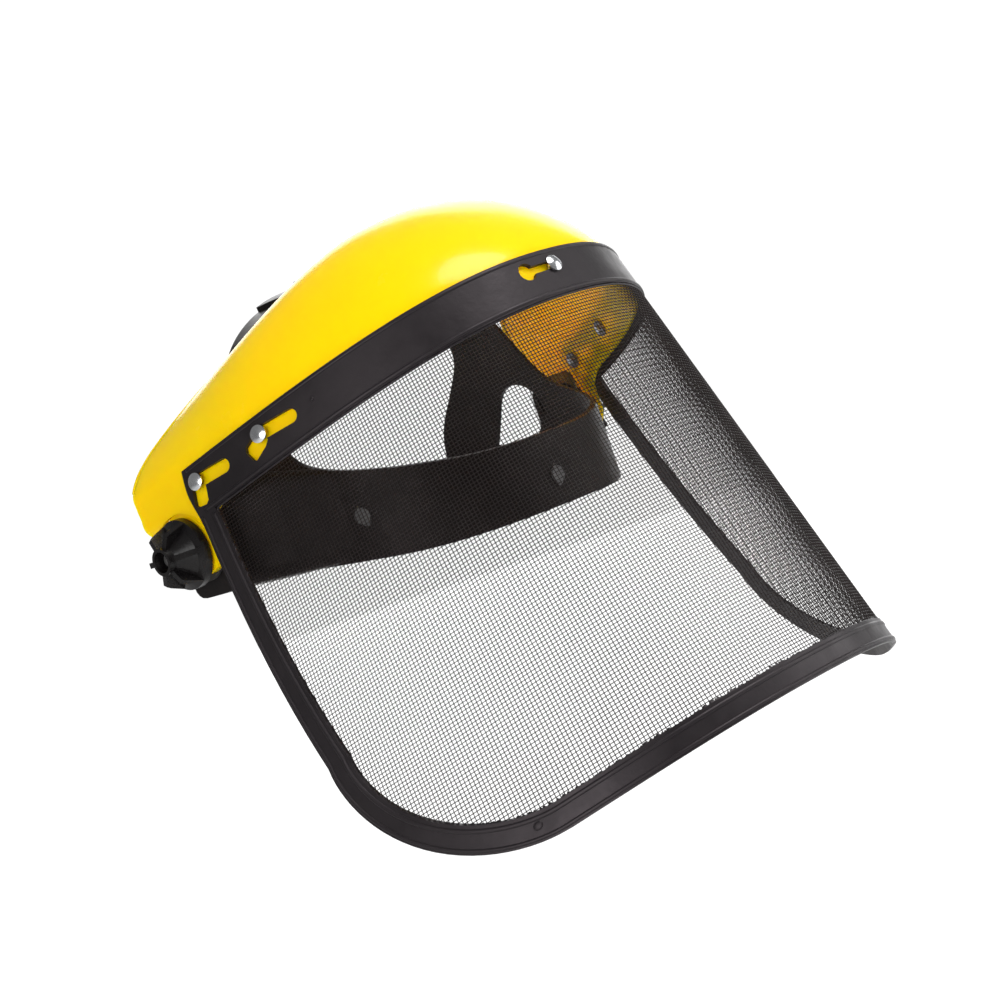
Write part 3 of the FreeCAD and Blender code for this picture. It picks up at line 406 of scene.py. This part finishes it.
def ragged(name, path, inner_first, reach):
    """Thin torn moulding flash at the edge of the trim, over the wires."""
    count = len(path)
    rough = chance.random(count) ** 2 * reach
    knots = np.arange(0, count + 12, 12)
    slow = np.interp(np.arange(count), knots, chance.random(count // 12 + 2)[:len(knots)])
    edge = 0.15 + rough * (0.35 + 0.65 * slow)
    sign = 1.0 if inner_first else -1.0
    low, high = -0.75, -0.42
    profile = np.zeros((count, 4, 2))
    profile[:, 0] = (-sign * 1.0, high)
    profile[:, 1, 0], profile[:, 1, 1] = sign * edge, high - 0.1
    profile[:, 2, 0], profile[:, 2, 1] = sign * edge, low
    profile[:, 3] = (-sign * 1.0, low)
    points, rows, columns = on_sheet(path, profile)
    return piece(name, points, grid_faces(rows, columns, caps=True), "visor", "pvc_trim")


ragged("trim_flash", outline(TRIM_SIDE, TRIM_LOW, BAND, 0.5), False, 1.3)
rail = np.linspace(-1, 1, 640)
ragged("band_flash", np.stack([rail * (edge_arc(BAND) - TRIM_SIDE), np.full(640, BAND)], 1), True, 1.0)

# ---------------------------------------------------------------- lip on the guard's cut rear edge

# the dome as the CAD draws it, in mm: its stations along the arc, height and reach at each, and its rear edge
WALL_START, WALL_MIDDLE, DOME_BASE = 2.0, 1.0, 1.5
REACH_POWER, HEIGHT_POWER = 1.24, 1.42
LIP_RADIUS = 1.25
STATIONS = [0, 35, 70, 105, 140, 175, 222]
HEIGHTS = [52.0, 51.3, 50.0, 44.0, 35.6, 28.0, 21.6]
REACHES = [47.0, 46.4, 43.3, 36.0, 30.1, 27.8, 23.8]
EDGE_Z = [22.0, 29.0, 35.0, 39.4, 43.8, 47.6, 52.0, 57.6, 67.0, 80.0]
EDGE_Y = [12.6, 12.4, 11.2, 8.0, 1.6, -8.5, -19.0, -33.0, -51.0, -69.0]


def station_value(values, arc):
    """The dome's size at an arc, read along the same bends as the CAD."""
    target = min(abs(arc), STATIONS[-1])
    last = len(STATIONS) - 1
    slopes = [0.0]
    for i in range(1, last + 1):
        after = min(i + 1, last)
        slopes.append((values[after] - values[i - 1]) / (STATIONS[after] - STATIONS[i - 1]))
    i = next(k for k in range(last) if target <= STATIONS[k + 1])
    span = STATIONS[i + 1] - STATIONS[i]
    part = (target - STATIONS[i]) / span
    rise = values[i + 1] - values[i]
    bend = (1 - part) * (slopes[i] * span - rise) + part * (rise - slopes[i + 1] * span)
    return values[i] + part * rise + part * (1 - part) * bend


def dome_point(arc, angle, shrink):
    """A point of the guard's dome in its own frame, in mm."""
    reach = station_value(REACHES, arc)
    inward = WALL_START + shrink + (reach - shrink) * (1 - math.cos(angle) ** REACH_POWER)
    spot = sheet_point(arc, 0.0, inward)
    spot[2] += DOME_BASE + (station_value(HEIGHTS, arc) - shrink) * math.sin(angle) ** HEIGHT_POWER
    return spot


def guard_lip():
    """Rounded bead along the cut rear edge of the guard, one on each side."""
    right = []
    for arc in np.linspace(-218.0, -60.0, 150):
        kept = None
        for angle in np.radians(np.linspace(2.0, 83.0, 160)):
            spot = dome_point(arc, angle, WALL_MIDDLE)
            inside = spot[1] < np.interp(spot[2], EDGE_Z, EDGE_Y)
            if inside:
                kept = spot
            elif kept is not None:
                right.append((spot + kept) / 2)
                break
    right = np.array(right)
    right = right[np.argsort(right[:, 2])]
    count = 60
    even = np.linspace(right[0, 2], right[-1, 2], count)
    line = np.stack([np.interp(even, right[:, 2], right[:, k]) for k in range(3)], 1)
    for _ in range(3):
        line[1:-1] = (line[:-2] + 2 * line[1:-1] + line[2:]) / 4
    for side, sign in (("right", 1.0), ("left", -1.0)):
        path = line * [sign, 1, 1]
        along = np.gradient(path, axis=0)
        along /= np.linalg.norm(along, axis=1)[:, None]
        first = np.cross(along, [0.3, 1.0, 0.2])
        first /= np.linalg.norm(first, axis=1)[:, None]
        second = np.cross(along, first)
        turn = np.linspace(0, 2 * math.pi, 12, endpoint=False)
        ring = path[:, None] + LIP_RADIUS * (first[:, None] * np.cos(turn)[None, :, None]
                                             + second[:, None] * np.sin(turn)[None, :, None])
        piece("guard_lip_" + side, to_row(ring).reshape(-1, 3), grid_faces(count, 12, caps=True),
              "visor", "guard_plastic")


guard_lip()

# ---------------------------------------------------------------- padded pieces

# the headband, seen from above, and the crown straps, in mm
BAND_HALF_WIDTH, BAND_HALF_DEPTH, BAND_POWER, BAND_THICK = 79.0, 98.3, 2.4, 2.2
STRAP_ROOT, STRAP_THICK = 12.0, 2.0
STRAP_CREST = {"left": 106.5, "right": 104.3}


def band_point(angle, inward):
    x = (BAND_HALF_WIDTH - inward) * power(np.sin(angle), 2 / BAND_POWER)
    y = -(BAND_HALF_DEPTH - inward) * power(np.cos(angle), 2 / BAND_POWER)
    return x, y


def rear_point(angle, outward):
    x = (75.2 + outward) * power(np.sin(angle), 2 / 2.3)
    y = 34.0 + (62.0 + outward) * power(np.cos(angle), 2 / 2.3)
    return x, y


def stuffed(name, where, limits, angles, thick, body, node, around=22):
    """Pad with a flat back against its band and a crowned face, its ends drawn in."""
    count = len(angles)
    turn = np.linspace(0, 2 * math.pi, around, endpoint=False)
    rows = []
    for i, angle in enumerate(angles):
        end = min(i, count - 1 - i) / 5.0
        pinch = math.sqrt(max(0.0, 1 - (1 - min(end, 1.0)) ** 2)) if end < 1 else 1.0
        pinch = max(pinch, 0.18)
        low, high = limits(angle)
        middle, half = (low + high) / 2, (high - low) / 2 * (0.55 + 0.45 * pinch)
        z = middle + half * power(np.cos(turn), 0.75)
        face = np.where(np.sin(turn) > 0, np.abs(np.sin(turn)) ** 0.6, 0.0) * thick * pinch
        x, y = where(angle, face)
        rows.append(np.stack([x + 0 * z, y + 0 * z, z], -1))
    points = np.concatenate(rows) * MM
    made = piece(name, points, grid_faces(count, around, caps=True), body, "sweatband_foam")
    held = [i * around + j for i in range(count) for j in range(around)
            if math.sin(turn[j]) <= 0.02 or i in (0, count - 1)]
    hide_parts(node)
    inflate(made, held, 0.0011)
    soft = made.modifiers.new("smooth", "SUBSURF")
    soft.levels = soft.render_levels = 1
    return made


def inflate(made, held, most):
    """Cloth under pressure, with the back held, so that the cover creases like a filled one."""
    rest = np.array([v.co for v in made.data.vertices])
    group = made.vertex_groups.new(name="held")
    group.add(held, 1.0, "REPLACE")
    cloth = made.modifiers.new("cloth", "CLOTH")
    cloth.settings.quality = 5
    cloth.settings.mass = 0.2
    cloth.settings.use_pressure = True
    cloth.settings.uniform_pressure_force = 4.0
    cloth.settings.vertex_group_mass = "held"
    cloth.settings.effector_weights.gravity = 0.0
    cloth.settings.shrink_min = -0.03
    cloth.collision_settings.use_collision = False
    cloth.point_cache.frame_start, cloth.point_cache.frame_end = 1, 20
    scene = bpy.context.scene
    for number in range(1, 21):
        scene.frame_set(number)
    ready = made.evaluated_get(bpy.context.evaluated_depsgraph_get())
    moved = np.array([v.co for v in ready.data.vertices])
    made.modifiers.remove(cloth)
    step = moved - rest
    length = np.linalg.norm(step, axis=1)[:, None].clip(1e-9)
    moved = rest + step * np.minimum(1.0, most / length)
    made.data.vertices.foreach_set("co", moved.astype(np.float32).ravel())
    made.data.update()
    scene.frame_set(1)


def sweat_limits(angle):
    y = band_point(angle, 0.0)[1]
    low = float(np.interp(y, [-110.0, -84.0, -30.0], [-12.5, -11.3, -4.5]))
    return low, 14.5


stuffed("sweatband_pad", lambda a, f: band_point(a, 0.35 + f), sweat_limits,
        np.radians(np.linspace(-65, 65, 78)), 3.9, "harness", "sweatband")
stuffed("nape_cushion", lambda a, f: rear_point(a, -2.05 - f), lambda a: (-1.5, 15.5),
        np.radians(np.linspace(-28, 28, 34)), 4.9, "rear", "nape_pad")

# ---------------------------------------------------------------- pegs and ribs on the harness

def teardrop(name, angle, z, lean):
    """Raised teardrop head of a sweatband peg on the headband's face."""
    x, y = band_point(angle, -BAND_THICK)
    ax, ay = band_point(angle - 0.01, -BAND_THICK)
    bx, by = band_point(angle + 0.01, -BAND_THICK)
    span = math.hypot(bx - ax, by - ay)
    along = Vector(((bx - ax) / span, (by - ay) / span, 0))
    normal = Vector((along.y, -along.x, 0))
    across = along * math.cos(lean) + Vector((0, 0, 1)) * math.sin(lean)
    upward = Vector((0, 0, 1)) * math.cos(lean) - along * math.sin(lean)
    rows = []
    for k in range(6):
        scale = math.cos(math.pi / 2 * k / 5.6)
        high = -0.2 if k == 0 else 0.25 + 1.1 * math.sin(math.pi / 2 * k / 5.6)
        for t in np.linspace(0, 2 * math.pi, 20, endpoint=False):
            wide = 2.7 * math.sin(t) * math.sin(t / 2) ** 1.1
            tall = 4.8 * math.cos(t)
            rows.append((Vector((x, y, z)) + across * wide * scale + upward * tall * scale * 0.98
                         + normal * high) * MM)
    return piece(name, rows, grid_faces(6, 20, caps=True), "harness", "pin_plastic")


teardrop("peg_head_right", math.radians(-55), 8.0, 0.25)
teardrop("peg_head_centre", 0.0, -1.5, 0.0)
teardrop("peg_head_left", math.radians(55), 8.0, -0.25)


def strap_rib(name, side, sign, z):
    """Grip rib across the inner face of a crown strap, at a height in mm."""
    rows = []
    angle = math.asin((z - STRAP_ROOT) / (STRAP_CREST[side] - STRAP_ROOT - STRAP_THICK))
    for y in np.linspace(-24.0, -2.0, 14):
        share = (1 - (abs(y) / BAND_HALF_DEPTH) ** BAND_POWER) ** (1 / BAND_POWER)
        wide = BAND_HALF_WIDTH * share + BAND_THICK - STRAP_THICK
        x = wide * math.cos(angle)
        slope = Vector((-math.sin(angle), 0, math.cos(angle) * 1.15)).normalized()
        inside = Vector((-slope.z, 0, slope.x))
        for t in np.linspace(0, math.pi, 6):
            spot = Vector((x, y, z)) + slope * 0.75 * math.cos(t) + inside * (0.5 * math.sin(t) - 0.15)
            rows.append(Vector((spot.x * sign, spot.y, spot.z)) * MM)
    return piece(name, rows, grid_faces(14, 6, caps=True), "harness", "harness_plastic")


for number in range(6):
    for side, sign in (("left", 1), ("right", -1)):
        strap_rib("strap_rib_%s_%d" % (side, number + 1), side, sign, 62.0 + 2.6 * number)

# ---------------------------------------------------------------- stage, light and camera

def for_camera(tree, others, camera_value):
    """One value for camera rays and another for all other rays."""
    node = tree.nodes.new("ShaderNodeMapRange")
    node.inputs["To Min"].default_value = others
    node.inputs["To Max"].default_value = camera_value
    path = tree.nodes.new("ShaderNodeLightPath")
    tree.links.new(path.outputs["Is Camera Ray"], node.inputs["Value"])
    return node.outputs["Result"]


# the floor lies just under the visor's lower edge when the visor hangs straight down
FLOOR_HALF, FLOOR_GAP = 9, 0.003
low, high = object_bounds()
hanging = (PIVOT[2] + float(sheet_point(0.0, HEIGHT)[2])) * MM
level = min(low.z, hanging) - FLOOR_GAP
corners = [(-FLOOR_HALF, -FLOOR_HALF), (FLOOR_HALF, -FLOOR_HALF),
           (FLOOR_HALF, FLOOR_HALF), (-FLOOR_HALF, FLOOR_HALF)]
floor_mesh = bpy.data.meshes.new("floor")
floor_mesh.from_pydata([(x, y, level) for x, y in corners], [], [(0, 1, 2, 3)])
floor = bpy.data.objects.new("floor", floor_mesh)
bpy.context.scene.collection.objects.link(floor)
paper = bpy.data.materials.new("paper_white")
paper.use_nodes = True
paint = paper.node_tree.nodes["Principled BSDF"]
paint.inputs["Roughness"].default_value = 0.9
paint.inputs["Emission Color"].default_value = (1, 1, 1, 1)
paper.node_tree.links.new(for_camera(paper.node_tree, 0.0, 0.97), paint.inputs["Emission Strength"])
paper.node_tree.links.new(for_camera(paper.node_tree, 0.9, 0.12), paint.inputs["Base Color"])
floor_mesh.materials.append(paper)

world = bpy.data.worlds.new("studio")
world.use_nodes = True
backdrop = world.node_tree.nodes["Background"]
backdrop.inputs["Color"].default_value = (1, 1, 1, 1)
world.node_tree.links.new(for_camera(world.node_tree, 0.28, 1.05), backdrop.inputs["Strength"])
bpy.context.scene.world = world


def softbox(name, spot, aim, wide, watts):
    data = bpy.data.lights.new(name, "AREA")
    data.shape = "DISK"
    data.size = wide
    data.energy = watts
    lamp = bpy.data.objects.new(name, data)
    lamp.location = spot
    lamp.rotation_mode = "QUATERNION"
    lamp.rotation_quaternion = (Vector(aim) - Vector(spot)).to_track_quat("-Z", "Y")
    bpy.context.scene.collection.objects.link(lamp)
    return lamp


softbox("key_light", (0.35, -0.9, 1.35), (0, -0.05, 0), 1.0, 25)
softbox("fill_light", (-1.35, -0.75, 0.14), (0, -0.05, 0), 1.1, 16)
softbox("side_light", (1.2, -1.0, 0.2), (0, -0.05, 0), 1.2, 9)
softbox("rim_light", (1.35, 1.10, 0.25), (0, -0.05, 0), 2.4, 34)

lens = bpy.data.cameras.new("camera")
lens.lens = 78.862
lens.sensor_width = 36.0
lens.clip_start, lens.clip_end = 0.01, 100.0
camera = bpy.data.objects.new("camera", lens)
camera.matrix_world = Matrix(((0.673538, 0.258917, -0.692321, -0.610266),
                              (-0.664453, -0.198229, -0.72056, -0.700863),
                              (-0.323804, 0.94534, 0.038524, 0.028740),
                              (0, 0, 0, 1)))
bpy.context.scene.collection.objects.link(camera)
bpy.context.scene.camera = camera
bpy.context.scene.view_settings.view_transform = "Standard"
